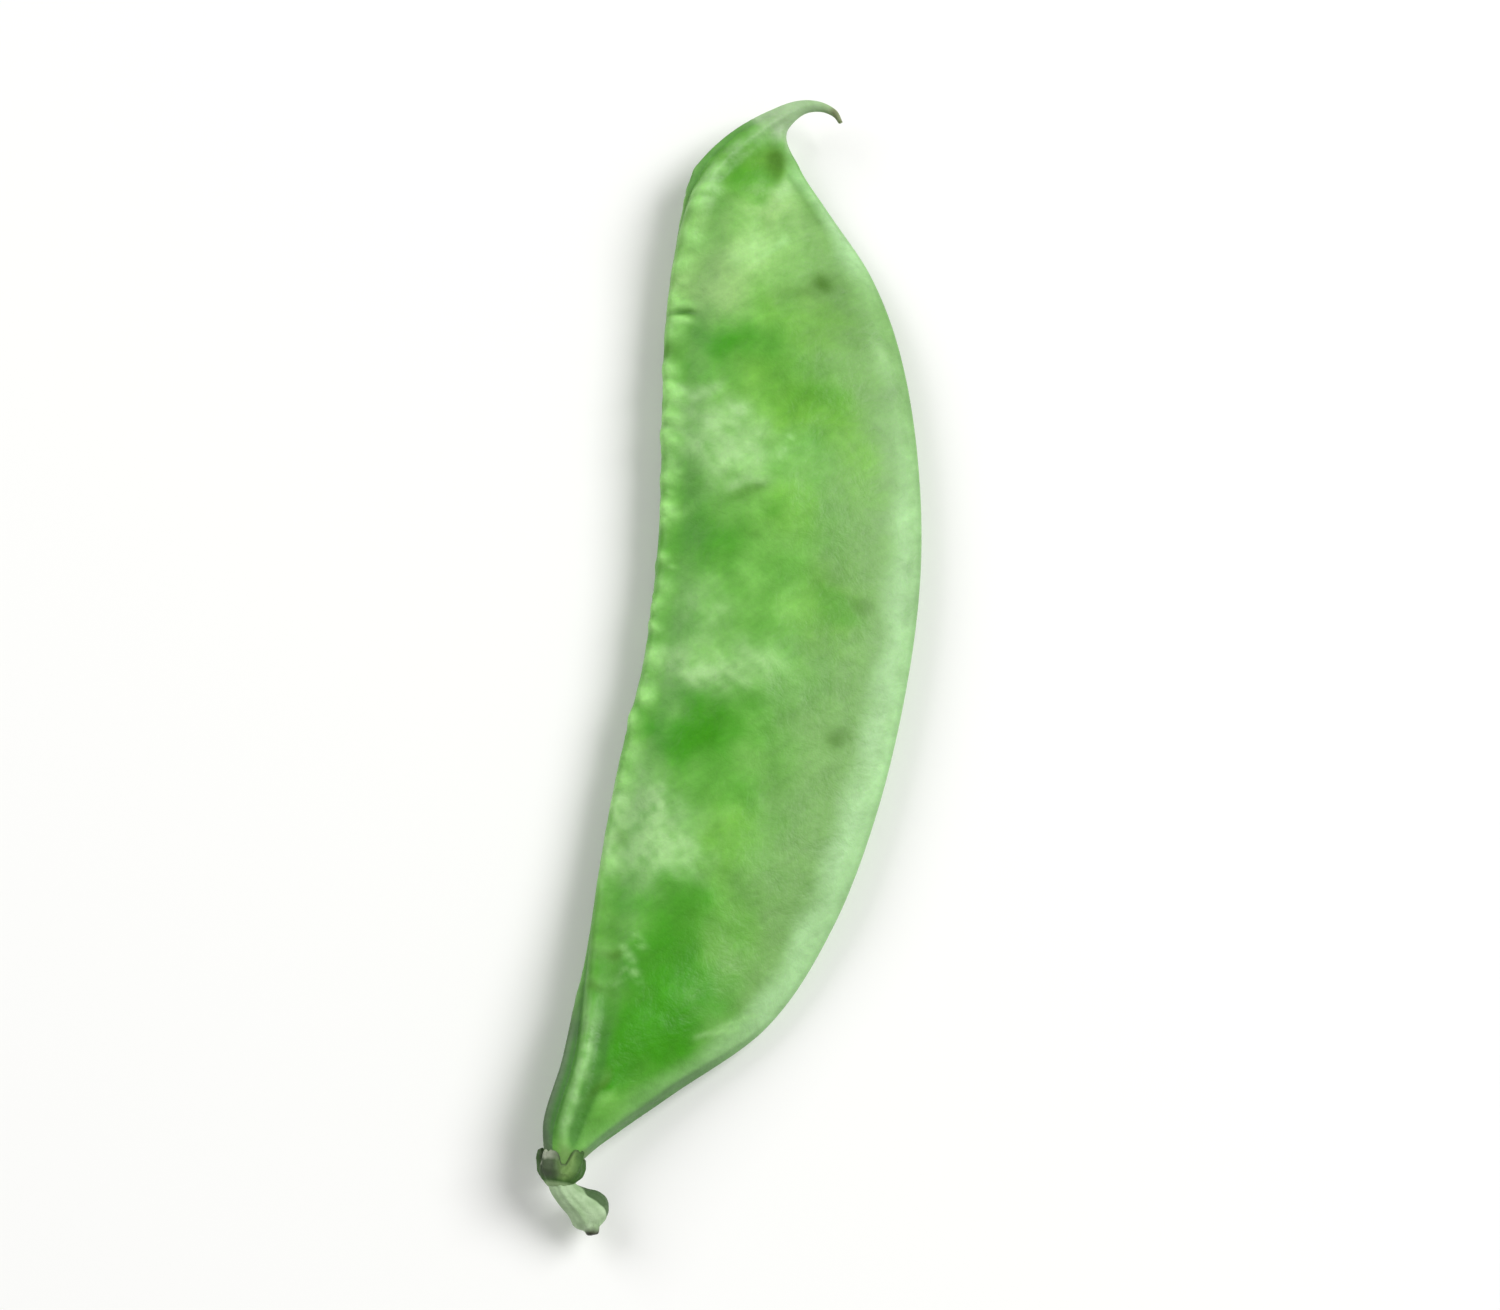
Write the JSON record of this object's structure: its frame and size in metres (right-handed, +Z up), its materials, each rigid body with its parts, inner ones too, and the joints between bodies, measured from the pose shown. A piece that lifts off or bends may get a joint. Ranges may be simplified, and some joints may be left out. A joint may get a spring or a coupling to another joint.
{
  "type": "hyacinth bean pod",
  "caption": "Flat, curved green bean pod with a warty double seam along one edge, low swellings over its seeds, a hooked beak, and a small calyx on a broken stub of stalk.",
  "frame": {"origin": "under the middle of the whole, on the surface that it rests on", "axes": "+Y along the pod from stalk to beak, +X from its warty ventral seam to its thin dorsal seam, +Z up"},
  "size_m": [0.027, 0.0998, 0.0072],
  "materials": {
    "pod_skin": "satin, waxy fresh green skin with a pale bloom, lighter over the seeds and along both seams",
    "calyx_skin": "matt, half dried dark green sepals with brown edges",
    "stalk_skin": "matt, pale grey-green fibrous stalk with a dark broken end"
  },
  "bodies": {
    "root": {"pod": "pod_skin", "calyx": "calyx_skin", "pedicel": "stalk_skin"}
  },
  "joints": []
}
